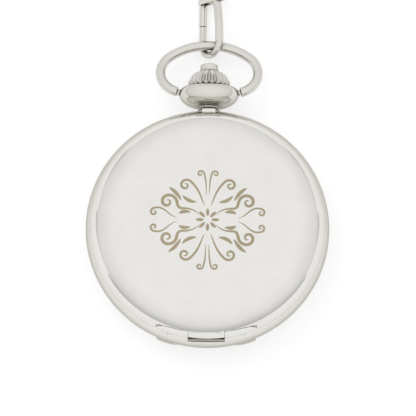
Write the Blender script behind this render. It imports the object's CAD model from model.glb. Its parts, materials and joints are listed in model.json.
import json
import math

import bmesh
import bpy
from mathutils import Matrix, Vector

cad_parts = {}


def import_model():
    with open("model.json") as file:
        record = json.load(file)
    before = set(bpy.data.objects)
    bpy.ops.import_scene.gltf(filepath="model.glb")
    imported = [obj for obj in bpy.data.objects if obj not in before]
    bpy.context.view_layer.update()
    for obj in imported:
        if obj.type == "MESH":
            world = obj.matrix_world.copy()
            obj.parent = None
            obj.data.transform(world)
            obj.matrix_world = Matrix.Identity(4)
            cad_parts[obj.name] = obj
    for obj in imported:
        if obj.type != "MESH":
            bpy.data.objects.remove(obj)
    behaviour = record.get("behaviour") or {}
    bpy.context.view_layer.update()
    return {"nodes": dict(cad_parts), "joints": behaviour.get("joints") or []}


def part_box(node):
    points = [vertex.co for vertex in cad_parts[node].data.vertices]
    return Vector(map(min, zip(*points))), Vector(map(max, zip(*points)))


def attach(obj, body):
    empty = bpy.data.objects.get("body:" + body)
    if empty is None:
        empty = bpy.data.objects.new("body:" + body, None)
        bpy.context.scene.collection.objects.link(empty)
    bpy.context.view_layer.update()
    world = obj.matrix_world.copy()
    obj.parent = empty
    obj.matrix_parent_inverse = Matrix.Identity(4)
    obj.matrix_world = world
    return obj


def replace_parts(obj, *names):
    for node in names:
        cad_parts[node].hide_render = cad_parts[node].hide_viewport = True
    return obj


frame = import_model()
nodes = frame["nodes"]
MM = 0.001

# ---------------------------------------------------------------- places read from the frame

JOINTS = {j["name"]: j for j in frame["joints"]}
case_low, case_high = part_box("case_middle")
case_r = (case_high.x - case_low.x) / 2
lid_low, lid_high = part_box("front_lid")
crown_low, crown_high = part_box("crown")
stem_z = (crown_low.z + crown_high.z) / 2
dial_low, dial_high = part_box("dial")


# ---------------------------------------------------------------- node-tree helpers

class Tree:
    """A small wrapper that adds and links shader nodes."""

    def __init__(self, material):
        material.use_nodes = True
        self.tree = material.node_tree
        self.tree.nodes.clear()
        self.out = self.tree.nodes.new("ShaderNodeOutputMaterial")
        self.bsdf = self.tree.nodes.new("ShaderNodeBsdfPrincipled")
        self.link(self.bsdf, 0, self.out, 0)
        self.coord = self.tree.nodes.new("ShaderNodeTexCoord")

    def link(self, a, a_socket, b, b_socket):
        self.tree.links.new(a.outputs[a_socket], b.inputs[b_socket])

    def place(self, scale=(1, 1, 1), turn=(0, 0, 0), move=(0, 0, 0)):
        """Object coordinates in millimetres, moved, turned and scaled."""
        mapping = self.tree.nodes.new("ShaderNodeMapping")
        mapping.inputs["Scale"].default_value = [1000 * s for s in scale]
        mapping.inputs["Rotation"].default_value = turn
        mapping.inputs["Location"].default_value = move
        self.link(self.coord, "Object", mapping, "Vector")
        return mapping

    def noise(self, scale, detail=3.0, rough=0.5, stretch=(1, 1, 1), turn=(0, 0, 0)):
        place = self.place(stretch, turn)
        node = self.tree.nodes.new("ShaderNodeTexNoise")
        node.inputs["Scale"].default_value = scale
        node.inputs["Detail"].default_value = detail
        node.inputs["Roughness"].default_value = rough
        self.link(place, 0, node, "Vector")
        return node

    def ranged(self, source, socket, low, high, to_low, to_high):
        node = self.tree.nodes.new("ShaderNodeMapRange")
        node.inputs["From Min"].default_value = low
        node.inputs["From Max"].default_value = high
        node.inputs["To Min"].default_value = to_low
        node.inputs["To Max"].default_value = to_high
        self.link(source, socket, node, "Value")
        return node

    def maths(self, operation, a, b=None, a_socket=0, b_socket=0):
        node = self.tree.nodes.new("ShaderNodeMath")
        node.operation = operation
        for i, (value, socket) in enumerate(((a, a_socket), (b, b_socket))):
            if value is None:
                continue
            if isinstance(value, (int, float)):
                node.inputs[i].default_value = value
            else:
                self.link(value, socket, node, i)
        return node

    def blend_colour(self, factor, factor_socket, dark, light):
        node = self.tree.nodes.new("ShaderNodeMix")
        node.data_type = "RGBA"
        self.link(factor, factor_socket, node, 0)
        node.inputs[6].default_value = (*dark, 1)
        node.inputs[7].default_value = (*light, 1)
        return node

    def bump(self, height, socket, strength, distance, under=None):
        node = self.tree.nodes.new("ShaderNodeBump")
        node.inputs["Strength"].default_value = strength
        node.inputs["Distance"].default_value = distance
        self.link(height, socket, node, "Height")
        if under is not None:
            self.link(under, 0, node, "Normal")
        self.link(node, 0, self.bsdf, "Normal")
        return node

    def tarnished(self, colour, amount):
        """The colour, darkened and warmed in corners and grooves."""
        hidden = self.tree.nodes.new("ShaderNodeAmbientOcclusion")
        hidden.samples = 8
        hidden.inputs["Distance"].default_value = 1.6 * MM
        open_share = self.ranged(hidden, 1, 0.25, 0.85, 1 - amount, 1)
        mixed = self.tree.nodes.new("ShaderNodeMix")
        mixed.data_type = "RGBA"
        mixed.inputs[6].default_value = (0.10, 0.085, 0.06, 1)
        self.link(open_share, 0, mixed, 0)
        self.link(colour, 2, mixed, 7)
        return mixed

    def soft_edges(self, radius):
        node = self.tree.nodes.new("ShaderNodeBevel")
        node.samples = 4
        node.inputs["Radius"].default_value = radius
        return node


def metal(name, dark, light, rough=(0.05, 0.12), scratch=0.02, edge=0.06, grain=None,
          crevice=0.0):
    """Polished or grained metal with colour drift, hairline scratches and soft edges."""
    material = bpy.data.materials.new(name)
    t = Tree(material)
    t.bsdf.inputs["Metallic"].default_value = 1.0
    t.bsdf.inputs["Specular Tint"].default_value = (0.60, 0.58, 0.53, 1)
    cloud = t.noise(0.22, 4, 0.55)
    colour = t.blend_colour(cloud, 0, dark, light)
    if crevice:
        colour = t.tarnished(colour, crevice)
    t.link(colour, 2, t.bsdf, "Base Color")
    smear = t.noise(1.7, 5, 0.62, (1, 0.6, 1), (0.2, 0.4, 0.7))
    lines = t.noise(9, 2, 0.5, (0.25, 7, 3), (0.1, 0.2, 0.5))
    both = t.maths("ADD", smear, t.maths("MULTIPLY", lines, 0.35))
    t.link(t.ranged(both, 0, 0.45, 0.95, *rough), 0, t.bsdf, "Roughness")
    soft = t.soft_edges(edge * MM)
    if grain is None:
        t.bump(lines, 0, scratch, 0.004 * MM, soft)
    else:
        grain(t, soft)
    return material


def ringed(centre, pitch, depth):
    """A grain of fine rings round a wheel's own axis, such as snailing or lathe marks."""
    def grain(t, soft):
        place = t.place(move=(-centre[0], -centre[1], 0))
        wave = t.tree.nodes.new("ShaderNodeTexWave")
        wave.wave_type = "RINGS"
        wave.rings_direction = "Z"
        wave.inputs["Scale"].default_value = 0.31 / pitch
        wave.inputs["Distortion"].default_value = 0.6
        wave.inputs["Detail"].default_value = 2
        t.link(place, 0, wave, "Vector")
        t.bump(wave, 1, 0.5, depth * MM, soft)
    return grain


def striped(width, depth, turn):
    """Broad Geneva stripes with a fine brushed line inside each one."""
    def grain(t, soft):
        place = t.place(turn=(0, 0, turn))
        saw = t.tree.nodes.new("ShaderNodeTexWave")
        saw.wave_profile = "SAW"
        saw.inputs["Scale"].default_value = 0.314 / width
        saw.inputs["Distortion"].default_value = 0.0
        t.link(place, 0, saw, "Vector")
        fine = t.noise(3, 2, 0.5, (0.3, 26, 1), (0, 0, turn + 1.1))
        rounded = t.maths("ADD", t.maths("MULTIPLY", saw, 1.0, 1), t.maths("MULTIPLY", fine, 0.12))
        t.bump(rounded, 0, 0.6, depth * MM, soft)
    return grain


def hairline(direction, depth):
    """Straight brushing along one direction."""
    def grain(t, soft):
        lines = t.noise(4, 3, 0.6, (0.4, 22, 22), direction)
        t.bump(lines, 0, 0.4, depth * MM, soft)
    return grain


def smooth_solid(name, dark, light, rough, coat=0.0, transmission=0.0, ior=1.5, bump=0.002,
                 subsurface=0.0):
    """Enamel, ruby, rubber or glass: a non-metal with a little drift in colour and finish."""
    material = bpy.data.materials.new(name)
    t = Tree(material)
    bsdf = t.bsdf
    t.link(t.blend_colour(t.noise(0.6, 4), 0, dark, light), 2, bsdf, "Base Color")
    marks = t.noise(2.5, 4, 0.6)
    t.link(t.ranged(marks, 0, 0.3, 0.75, *rough), 0, bsdf, "Roughness")
    bsdf.inputs["Coat Weight"].default_value = coat
    bsdf.inputs["Coat Roughness"].default_value = 0.03
    bsdf.inputs["Transmission Weight"].default_value = transmission
    bsdf.inputs["IOR"].default_value = ior
    bsdf.inputs["Subsurface Weight"].default_value = subsurface
    bsdf.inputs["Subsurface Scale"].default_value = 0.3 * MM
    t.bump(marks, 0, 0.15, bump * MM)
    return material


def glass():
    """Clear mineral crystal with the faintest wipe marks."""
    material = bpy.data.materials.new("crystal_glass")
    t = Tree(material)
    t.bsdf.inputs["Base Color"].default_value = (0.98, 0.99, 0.99, 1)
    t.bsdf.inputs["Transmission Weight"].default_value = 1.0
    t.bsdf.inputs["IOR"].default_value = 1.5
    wipe = t.noise(0.5, 5, 0.6, (1, 3, 1))
    t.link(t.ranged(wipe, 0, 0.4, 0.8, 0.0, 0.035), 0, t.bsdf, "Roughness")
    return material


# ---------------------------------------------------------------- materials of the CAD nodes

SILVER_DARK, SILVER_LIGHT = (0.705, 0.695, 0.665), (0.775, 0.765, 0.74)
BLUE_DARK, BLUE_LIGHT = (0.012, 0.03, 0.16), (0.03, 0.07, 0.30)
STEEL_DARK, STEEL_LIGHT = (0.52, 0.53, 0.55), (0.66, 0.67, 0.69)
BRASS_DARK, BRASS_LIGHT = (0.70, 0.48, 0.17), (0.84, 0.62, 0.27)
GILT_DARK, GILT_LIGHT = (0.78, 0.58, 0.26), (0.90, 0.71, 0.38)

case_silver = metal("case_silver", SILVER_DARK, SILVER_LIGHT, (0.045, 0.10), 0.03)
fitting_silver = metal("fitting_silver", (0.62, 0.605, 0.565), (0.70, 0.685, 0.65), (0.05, 0.14),
                       0.05, 0.1, crevice=0.75)
crown_silver = metal("crown_silver", (0.66, 0.64, 0.60), (0.74, 0.725, 0.69), (0.06, 0.15), 0.05,
                     0.06, crevice=0.95)
pin_steel = metal("pin_steel", STEEL_DARK, STEEL_LIGHT, (0.12, 0.25), 0.1)
blued = metal("blued_steel", BLUE_DARK, BLUE_LIGHT, (0.08, 0.2), 0.05, 0.04)
spring_steel = metal("spring_steel", (0.3, 0.31, 0.33), (0.42, 0.43, 0.46), (0.2, 0.35), 0.1, 0.02)
ring_metal = metal("ring_metal", (0.66, 0.66, 0.65), (0.78, 0.78, 0.76), (0.18, 0.3), 0.1, 0.04,
                   ringed((0, 0), 0.12, 0.003))
gilt_stripes = metal("gilt_stripes", GILT_DARK, GILT_LIGHT, (0.16, 0.3), 0.1, 0.06,
                     striped(2.2, 0.02, 0.5))
gilt_plain = metal("gilt_plain", GILT_DARK, GILT_LIGHT, (0.18, 0.3), 0.1, 0.05,
                   hairline((0, 0, 0.4), 0.002))
enamel = smooth_solid("white_enamel", (0.86, 0.85, 0.80), (0.92, 0.91, 0.87), (0.12, 0.2), 0.8,
                      bump=0.004)
black_enamel = smooth_solid("black_enamel", (0.008, 0.008, 0.01), (0.02, 0.02, 0.025),
                            (0.18, 0.3), 0.5)
ruby = smooth_solid("ruby", (0.42, 0.005, 0.05), (0.7, 0.02, 0.12), (0.03, 0.08), 1.0, 0.25, 1.76)
rubber = smooth_solid("gasket_rubber", (0.02, 0.02, 0.02), (0.04, 0.04, 0.04), (0.5, 0.7))

ARBORS = {"barrel": "barrel_spin", "centre": "centre_spin", "third": "third_spin",
          "fourth": "fourth_spin", "escape": "escape_spin", "balance": "balance_swing",
          "crown_gear": "crown_gear_spin", "ratchet": "ratchet_spin",
          "minute_works": "minute_works_spin", "hour_works": "hour_spin"}


def arbor_mm(body):
    x, y, _ = JOINTS[ARBORS[body]]["pos_m"]
    return x / MM, y / MM


def paint(material, *names):
    for name in names:
        mesh = nodes[name].data
        mesh.materials.clear()
        mesh.materials.append(material)


paint(case_silver, "case_middle", "back_cover", "front_lid", "bezel", "front_hinge_pin",
      "back_hinge_pin")
paint(fitting_silver, "pendant_boss", "crown", "crown_cap", "bow", "clasp_hook", "clasp_gate",
      "swivel_eye")
paint(pin_steel, "clasp_rivet", "stem", "stem_clip",
      "winding_pinion", "sliding_pinion", "cannon_pinion", "barrel_arbor", "click", "regulator",
      "pallet_fork")
paint(blued, "lock_spring", "case_screws", "crown_wheel_screw", "ratchet_screw", "click_spring",
      "hairspring", "bridge_screws", "hour_hand", "minute_hand", "seconds_hand")
paint(spring_steel, "clasp_spring", "mainspring")
paint(ring_metal, "dial_ring", "movement_ring")
paint(gilt_stripes, "barrel_bridge", "train_bridge", "balance_cock")
paint(gilt_plain, "main_plate", "pallet_bridge")
paint(enamel, "dial")
paint(black_enamel, "dial_markers")
paint(ruby, "jewels", "pallet_stones")
paint(rubber, "crystal_gasket")
paint(glass(), "crystal")
for body, wheels in {"barrel": ("barrel_drum", "barrel_cover"), "centre": ("centre_wheel",),
                     "third": ("third_wheel",), "fourth": ("fourth_wheel",),
                     "escape": ("escape_wheel",), "balance": ("balance_wheel",),
                     "minute_works": ("minute_wheel",), "hour_works": ("hour_wheel",)}.items():
    paint(metal(body + "_brass", BRASS_DARK, BRASS_LIGHT, (0.14, 0.28), 0.1, 0.03,
                ringed(arbor_mm(body), 0.09, 0.002)), *wheels)
for body, wheel in {"crown_gear": "crown_wheel", "ratchet": "ratchet_wheel"}.items():
    paint(metal(wheel + "_steel", STEEL_DARK, STEEL_LIGHT, (0.1, 0.22), 0.1, 0.04,
                ringed(arbor_mm(body), 0.3, 0.006)), wheel)


# ---------------------------------------------------------------- mesh helpers

def add_piece(name, verts, faces, material, body, smooth=True):
    mesh = bpy.data.meshes.new(name)
    mesh.from_pydata([Vector(v) * MM for v in verts], [], faces)
    mesh.update()
    bm = bmesh.new()
    bm.from_mesh(mesh)
    bmesh.ops.recalc_face_normals(bm, faces=bm.faces)
    bm.to_mesh(mesh)
    bm.free()
    mesh.materials.append(material)
    mesh.polygons.foreach_set("use_smooth", [smooth] * len(mesh.polygons))
    piece = bpy.data.objects.new(name, mesh)
    bpy.context.scene.collection.objects.link(piece)
    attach(piece, body)
    return piece


def ring_surface(rows, count, point):
    """Closed surface of rings: point(row, turn) gives each vertex, and both ends are capped."""
    verts = [point(row, 2 * math.pi * i / count) for row in range(rows) for i in range(count)]
    faces = [(row * count + i, row * count + (i + 1) % count,
              (row + 1) * count + (i + 1) % count, (row + 1) * count + i)
             for row in range(rows - 1) for i in range(count)]
    faces.append(tuple(range(count))[::-1])
    faces.append(tuple(range((rows - 1) * count, rows * count)))
    return verts, faces


# ---------------------------------------------------------------- fluted crown

def crown():
    """Domed crown with broad hollow flutes and thin ridges that run out over its shoulder."""
    flutes, per_flute = 20, 12
    widest = (crown_high.x - crown_low.x) / 2 / MM
    base, top = crown_low.y / MM, crown_high.y / MM
    height = top - base
    # Each row: share of the height, radius, depth of the flutes
    rows = [(0.0, 0.80, 0.0), (0.015, 0.86, 0.04), (0.05, 0.90, 0.18), (0.09, 0.955, 0.38),
            (0.14, 0.985, 0.56), (0.2, 0.998, 0.66), (0.28, 0.998, 0.70), (0.36, 0.985, 0.71),
            (0.45, 0.955, 0.70), (0.54, 0.91, 0.66), (0.63, 0.85, 0.58), (0.72, 0.775, 0.46),
            (0.8, 0.69, 0.33), (0.87, 0.60, 0.19), (0.92, 0.53, 0.08), (0.95, 0.49, 0.0),
            (0.965, 0.46, 0.0), (0.96, 0.44, 0.0)]

    def point(row, turn):
        rise, share, depth = rows[row]
        phase = (turn * flutes / (2 * math.pi)) % 1.0
        hollow = 1 - abs(2 * phase - 1) ** 1.9
        r = widest * share - depth * hollow
        return (r * math.cos(turn), base + height * rise, stem_z / MM + r * math.sin(turn))

    verts, faces = ring_surface(len(rows), flutes * per_flute, point)
    piece = add_piece("crown_fluted", verts, faces, crown_silver, "winding_crown")
    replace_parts(piece, "crown")


# ---------------------------------------------------------------- cushion-shaped boss

def boss():
    """One smooth cushion on a short neck, oval across and flat toward the crown."""
    boss_low, boss_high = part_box("pendant_boss")
    half = (boss_high.x - boss_low.x) / 2 / MM
    thick = (boss_high.z - boss_low.z) / 2 / MM
    top, bottom = boss_high.y / MM, case_r / MM + 1.25
    # Each row: place along the neck, half-width and half-thickness
    rows = [(boss_low.y / MM, 2.25, 2.25), (bottom - 0.95, 2.25, 2.25), (bottom - 0.8, 2.1, 2.1),
            (bottom - 0.7, 1.75, 1.75), (bottom - 0.3, 1.6, 1.6), (bottom - 0.02, 1.68, 1.68)]
    shoulder, soft_corner = 1.15, 1.0
    steps = 18
    for i in range(steps + 1):
        a = math.pi / 2 * i / steps
        wide = 1.9 + (half - 1.9) * math.sin(a) ** 0.92
        rows.append((bottom + (top - shoulder - bottom) * (1 - math.cos(a)), wide,
                     1.85 + (thick - 1.85) * math.sin(a) ** 0.8))
    for i in range(1, 9):
        a = math.pi / 2 * i / 8
        inset = soft_corner * (1 - math.cos(a))
        rows.append((top - shoulder + shoulder * math.sin(a), half - inset, thick - inset))

    def point(row, turn):
        y, wide, deep = rows[row]
        return (wide * math.cos(turn), y, stem_z / MM + deep * math.sin(turn))

    verts, faces = ring_surface(len(rows), 96, point)
    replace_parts(add_piece("boss_cushion", verts, faces, fitting_silver, "case"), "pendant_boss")


# ---------------------------------------------------------------- ornament engraved on the lid

DOME_INSET, DOME_RISE = 6.1, 0.5


def lid_height(x, y):
    """Height of the lid's outer face, in millimetres, with its shallow dome."""
    dome_r = case_r / MM - DOME_INSET
    return lid_high.z / MM - DOME_RISE * (x * x + y * y) / dome_r ** 2


def stroke(points, widest, proud=0.0025, deep=0.15):
    """A closed ribbon let into the lid, thin at both ends like a graver's cut."""
    verts, faces = [], []
    last = len(points) - 1
    for i, (x, y) in enumerate(points):
        (x0, y0), (x1, y1) = points[max(i - 1, 0)], points[min(i + 1, last)]
        along = Vector((x1 - x0, y1 - y0)).normalized()
        half = widest / 2 * (0.16 + 0.84 * math.sin(math.pi * i / last) ** 0.7)
        side = Vector((-along.y, along.x)) * half
        for sx, dz in ((1, proud), (-1, proud), (-1, -deep), (1, -deep)):
            px, py = x + sx * side.x, y + sx * side.y
            verts.append((px, py, lid_height(px, py) + dz))
    for i in range(last):
        for k in range(4):
            a, b = 4 * i + k, 4 * i + (k + 1) % 4
            faces.append((a, b, b + 4, a + 4))
    faces.append((0, 1, 2, 3))
    faces.append((4 * last + 3, 4 * last + 2, 4 * last + 1, 4 * last))
    return verts, faces


def scroll(centre, r_in, r_out, start, turns, tail):
    """A spiral that opens from its eye and runs out along a curved tail."""
    steps = 44
    points = []
    for i in range(steps + 1):
        s = i / steps
        r = r_in * (r_out / r_in) ** s
        a = math.radians(start + 360 * turns * s)
        points.append((centre[0] + r * math.cos(a), centre[1] + r * math.sin(a)))
    (x0, y0), (x1, y1) = points[-2], points[-1]
    heading = Vector((x1 - x0, y1 - y0)).normalized()
    end, bend = Vector(tail[0]), Vector(tail[1])
    start_point = Vector((x1, y1))
    reach = (end - start_point).length * 0.45
    for i in range(1, 25):
        s = i / 24
        p = (start_point * (1 - s) ** 3 + (start_point + heading * reach) * 3 * s * (1 - s) ** 2
             + bend * 3 * s ** 2 * (1 - s) + end * s ** 3)
        points.append((p.x, p.y))
    return points


def ornament():
    """A symmetrical flourish of scrolls and leaves round a small rosette."""
    khaki = metal("engraved_line", (0.34, 0.29, 0.19), (0.46, 0.40, 0.28), (0.4, 0.6), 0.2, 0.01,
                  hairline((0, 0, 0.7), 0.004))
    middle = -0.2
    lines = []
    quarter = [
        (scroll((7.9, 3.6), 0.35, 1.9, 60, 1.35, ((1.6, 1.1), (4.2, 3.4))), 0.62),
        (scroll((4.4, 7.0), 0.28, 1.35, 42, 1.3, ((0.6, 2.9), (1.3, 4.2))), 0.50),
        (scroll((10.5, 1.5), 0.2, 0.85, 36, 1.15, ((6.0, 0.4), (7.8, 0.7))), 0.42),
        (scroll((1.5, 9.4), 0.18, 0.75, 108, 1.2, ((0.25, 5.0), (0.45, 6.8))), 0.38)]
    leaves = [((5.2, 3.9), (6.3, 5.9), (7.6, 6.5)), ((2.2, 3.6), (3.9, 3.6), (4.9, 4.9)),
              ((3.4, 1.5), (4.8, 1.9), (5.6, 1.2))]
    for a, b, c in leaves:
        curve = [tuple(Vector(a) * (1 - s) ** 2 + Vector(b) * 2 * s * (1 - s) + Vector(c) * s * s)
                 for s in (i / 14 for i in range(15))]
        quarter.append((curve, 0.72))
    for points, width in quarter:
        for sx in (-1, 1):
            for sy in (-1, 1):
                lines.append(([(sx * x, middle + sy * y) for x, y in points], width))
    for k in range(8):
        a = math.pi / 4 * k
        petal = [((0.75 + 1.55 * s) * math.cos(a), middle + (0.75 + 1.55 * s) * math.sin(a))
                 for s in (i / 10 for i in range(11))]
        lines.append((petal, 0.66))
    verts, faces = [], []
    for points, width in lines:
        v, f = stroke(points, width)
        faces += [tuple(i + len(verts) for i in face) for face in f]
        verts += v
    add_piece("lid_ornament", verts, faces, khaki, "lid", smooth=False)


# ---------------------------------------------------------------- printed dial

def bar(x, y, z, along, across, turn, thick=0.03):
    """A flat printed bar as a closed block."""
    c, s = math.cos(turn), math.sin(turn)
    corners = [(-along, -across), (along, -across), (along, across), (-along, across)]
    ring = [(x + u * c - v * s, y + u * s + v * c) for u, v in corners]
    verts = [(px, py, z) for px, py in ring] + [(px, py, z + thick) for px, py in ring]
    faces = [(3, 2, 1, 0), (4, 5, 6, 7)] + [(k, (k + 1) % 4, 4 + (k + 1) % 4, 4 + k)
                                           for k in range(4)]
    return verts, faces


def numeral(text, centre_r, angle, z, size):
    """A Roman numeral as strokes, with its foot toward the centre of the dial."""
    widths = {"I": 0.42, "V": 1.0, "X": 1.0}
    total = sum(widths[c] for c in text) * size * 0.52
    pen = -total / 2
    out = []
    up = Vector((math.sin(angle), math.cos(angle)))
    right = Vector((math.cos(angle), -math.sin(angle)))
    for c in text:
        w = widths[c] * size * 0.52
        middle = pen + w / 2
        strokes = {"I": [(0, 0.0, 0.13)], "V": [(-0.16, 0.3, 0.13), (0.16, -0.3, 0.06)],
                   "X": [(0, 0.42, 0.13), (0, -0.42, 0.06)]}[c]
        for shift, lean, half in strokes:
            at = up * centre_r + right * (middle + shift * size)
            turn = math.pi / 2 - angle - math.atan(lean * (-1 if c == "V" else 1))
            out.append(bar(at.x, at.y, z, size * 0.5, half * size * 0.42, turn))
        for end in (-1, 1):
            at = up * (centre_r + end * size * 0.5) + right * middle
            out.append(bar(at.x, at.y, z, w * 0.42, size * 0.028, -angle))
        pen += w
    return out


def printed_dial():
    """Roman hours, a railway minute track and the track of the small seconds."""
    z = dial_high.z / MM
    parts = []
    roman = ["XII", "I", "II", "III", "IIII", "V", None, "VII", "VIII", "IX", "X", "XI"]
    for hour, text in enumerate(roman):
        if text:
            parts += numeral(text, 14.6, math.radians(30 * hour), z, 3.0)
    for minute in range(60):
        a = math.radians(6 * minute)
        long = minute % 5 == 0
        parts.append(bar(17.75 * math.sin(a), 17.75 * math.cos(a), z, 0.38,
                         0.13 if long else 0.045, math.pi / 2 - a))
    x, y, _ = (v / MM for v in JOINTS["fourth_spin"]["pos_m"])
    for second in range(0, 60, 2):
        a = math.radians(6 * second)
        long = second % 10 == 0
        r = 3.45 if long else 3.6
        parts.append(bar(x + r * math.sin(a), y + r * math.cos(a), z, 0.3 if long else 0.15,
                         0.05, math.pi / 2 - a))
    verts, faces = [], []
    for v, f in parts:
        faces += [tuple(i + len(verts) for i in face) for face in f]
        verts += v
    for r, cx, cy in ((17.35, 0, 0), (18.15, 0, 0), (3.85, x, y)):
        count, half, first = 160, 0.03, len(verts)
        for i in range(count):
            a = 2 * math.pi * i / count
            for dr, dz in ((-half, 0), (half, 0), (half, 0.03), (-half, 0.03)):
                verts.append((cx + (r + dr) * math.cos(a), cy + (r + dr) * math.sin(a), z + dz))
        for i in range(count):
            for k in range(4):
                here, after = first + 4 * i, first + 4 * ((i + 1) % count)
                turned = (k + 1) % 4
                faces.append((here + k, here + turned, after + turned, after + k))
    piece = add_piece("dial_print", verts, faces, black_enamel, "case", False)
    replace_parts(piece, "dial_markers")


crown()
boss()
ornament()
printed_dial()


# ---------------------------------------------------------------- stage, light and camera

def floor():
    bpy.ops.mesh.primitive_plane_add(size=3, location=(0, 0, -0.00002))
    plane = bpy.context.active_object
    plane.name = "floor"
    material = bpy.data.materials.new("pale_floor")
    t = Tree(material)
    t.bsdf.inputs["Base Color"].default_value = (0.42, 0.42, 0.42, 1)
    t.bsdf.inputs["Roughness"].default_value = 0.8
    t.bsdf.inputs["Emission Color"].default_value = (1, 1, 1, 1)
    t.bsdf.inputs["Emission Strength"].default_value = 0.60
    plane.data.materials.append(material)


def set_inputs(node, values):
    for socket, value in values.items():
        node.inputs[socket].default_value = value


def world():
    """A bright light tent, a little darker low down, most of all on the side below the watch."""
    tent = bpy.data.worlds.new("tent")
    bpy.context.scene.world = tent
    tent.use_nodes = True
    tree = tent.node_tree
    coord = tree.nodes.new("ShaderNodeTexCoord")
    split = tree.nodes.new("ShaderNodeSeparateXYZ")
    ramp = tree.nodes.new("ShaderNodeValToRGB")
    tree.links.new(coord.outputs["Generated"], split.inputs[0])
    tree.links.new(split.outputs["Z"], ramp.inputs[0])
    stops = [(0.0, 0.66), (0.04, 0.74), (0.08, 0.88), (0.3, 0.94), (0.6, 0.99), (0.85, 1.06),
             (1.0, 1.09)]
    elements = ramp.color_ramp.elements
    elements[0].position, elements[0].color = stops[0][0], (stops[0][1],) * 3 + (1,)
    elements[1].position, elements[1].color = stops[-1][0], (stops[-1][1],) * 3 + (1,)
    for at, level in stops[1:-1]:
        elements.new(at).color = (level, level, level, 1)
    # The side toward the bottom of the picture is darker near the horizon
    side = tree.nodes.new("ShaderNodeMapRange")
    set_inputs(side, {"From Min": -0.9, "From Max": -0.1, "To Min": 0.72, "To Max": 1})
    tree.links.new(split.outputs["Y"], side.inputs["Value"])
    low = tree.nodes.new("ShaderNodeMapRange")
    set_inputs(low, {"From Min": 0.12, "From Max": 0.5, "To Min": 0, "To Max": 1})
    tree.links.new(split.outputs["Z"], low.inputs["Value"])
    shade = tree.nodes.new("ShaderNodeMix")
    shade.inputs[3].default_value = 1.0
    tree.links.new(low.outputs[0], shade.inputs[0])
    tree.links.new(side.outputs[0], shade.inputs[2])
    tint = tree.nodes.new("ShaderNodeVectorMath")
    tint.operation = "SCALE"
    tree.links.new(ramp.outputs[0], tint.inputs[0])
    tree.links.new(shade.outputs[0], tint.inputs["Scale"])
    tree.links.new(tint.outputs[0], tree.nodes["Background"].inputs["Color"])
    tree.nodes["Background"].inputs["Strength"].default_value = 1.0


def area_light(name, place, aim, size, power, glossy=True, colour=(1, 1, 1)):
    data = bpy.data.lights.new(name, "AREA")
    data.size = size
    data.energy = power
    data.color = colour
    lamp = bpy.data.objects.new(name, data)
    lamp.location = place
    lamp.rotation_euler = (Vector(aim) - Vector(place)).to_track_quat("-Z", "Y").to_euler()
    lamp.visible_glossy = glossy
    bpy.context.scene.collection.objects.link(lamp)


def camera():
    elevation, azimuth, roll = math.radians(74), 0.0, math.radians(0.64)
    distance, shown = 1.5, 0.08197
    back = Vector((math.sin(azimuth) * math.cos(elevation),
                   -math.cos(azimuth) * math.cos(elevation), math.sin(elevation)))
    middle = Vector((0.06, 4.3, 6.2)) * MM
    data = bpy.data.cameras.new("camera")
    data.sensor_width = 36
    data.lens = 36 * distance / shown
    data.clip_start, data.clip_end = 0.01, 10
    cam = bpy.data.objects.new("camera", data)
    cam.rotation_mode = "QUATERNION"
    turn = (-back).to_track_quat("-Z", "Y")
    cam.rotation_quaternion = turn @ Matrix.Rotation(roll, 3, "Z").to_quaternion()
    cam.location = middle + back * distance
    bpy.context.scene.collection.objects.link(cam)
    bpy.context.scene.camera = cam


bpy.context.scene.view_settings.view_transform = "Standard"
floor()
world()
area_light("key", (-0.35, 0.30, 0.55), (0, 0, 0), 0.5, 0.7, glossy=False)
camera()
